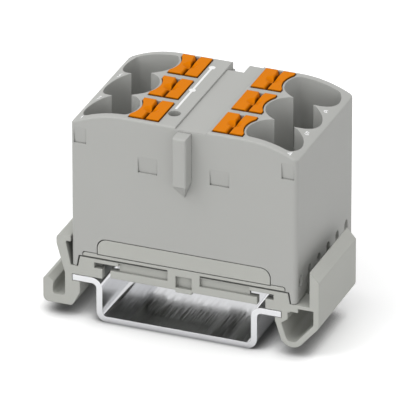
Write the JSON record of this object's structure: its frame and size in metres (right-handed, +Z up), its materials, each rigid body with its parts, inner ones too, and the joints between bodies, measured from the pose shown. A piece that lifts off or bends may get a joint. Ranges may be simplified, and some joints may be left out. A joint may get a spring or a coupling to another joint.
{
  "type": "power distribution block",
  "caption": "Push-in power distribution block with orange release buttons and round wire entries, clipped by its adapter to a short hat rail.",
  "frame": {"origin": "middle of the rail's underside", "axes": "+X across the rail, towards the fixed foot; +Y along the rail, away from the guide tongue; +Z up"},
  "size_m": [0.0463, 0.0275, 0.0366],
  "materials": {
    "rail_steel": "zinc plated, satin",
    "housing_grey": "fine moulded grey polyamide",
    "adapter_grey": "fine moulded light grey polyamide",
    "tinned_copper": "tin plated copper, satin",
    "button_orange": "moulded orange plastic, slight gloss",
    "cage_steel": "bright stamped steel",
    "spring_steel": "bright spring steel",
    "print_white": "white print"
  },
  "bodies": {
    "block": {"din_rail": "rail_steel", "housing": "housing_grey", "rail_adapter": "adapter_grey", "current_bar": "tinned_copper", "clamp_cage_1": "cage_steel", "clamp_spring_1": "spring_steel", "clamp_cage_2": "cage_steel", "clamp_spring_2": "spring_steel", "clamp_cage_3": "cage_steel", "clamp_spring_3": "spring_steel", "clamp_cage_4": "cage_steel", "clamp_spring_4": "spring_steel", "clamp_cage_5": "cage_steel", "clamp_spring_5": "spring_steel", "clamp_cage_6": "cage_steel", "clamp_spring_6": "spring_steel"},
    "button_1": {"push_button_1": "button_orange"},
    "button_2": {"push_button_2": "button_orange"},
    "button_3": {"push_button_3": "button_orange"},
    "button_4": {"push_button_4": "button_orange"},
    "button_5": {"push_button_5": "button_orange"},
    "button_6": {"push_button_6": "button_orange"}
  },
  "joints": [
    {"name": "press_1", "type": "slide", "parent": "block", "child": "button_1", "axis": [0, 0, -1], "range_m": [0, 0.002], "stiffness_N_per_m": 1500, "deforming": ["clamp_spring_1"]},
    {"name": "press_2", "type": "slide", "parent": "block", "child": "button_2", "axis": [0, 0, -1], "range_m": [0, 0.002], "stiffness_N_per_m": 1500, "deforming": ["clamp_spring_2"]},
    {"name": "press_3", "type": "slide", "parent": "block", "child": "button_3", "axis": [0, 0, -1], "range_m": [0, 0.002], "stiffness_N_per_m": 1500, "deforming": ["clamp_spring_3"]},
    {"name": "press_4", "type": "slide", "parent": "block", "child": "button_4", "axis": [0, 0, -1], "range_m": [0, 0.002], "stiffness_N_per_m": 1500, "deforming": ["clamp_spring_4"]},
    {"name": "press_5", "type": "slide", "parent": "block", "child": "button_5", "axis": [0, 0, -1], "range_m": [0, 0.002], "stiffness_N_per_m": 1500, "deforming": ["clamp_spring_5"]},
    {"name": "press_6", "type": "slide", "parent": "block", "child": "button_6", "axis": [0, 0, -1], "range_m": [0, 0.002], "stiffness_N_per_m": 1500, "deforming": ["clamp_spring_6"]}
  ]
}
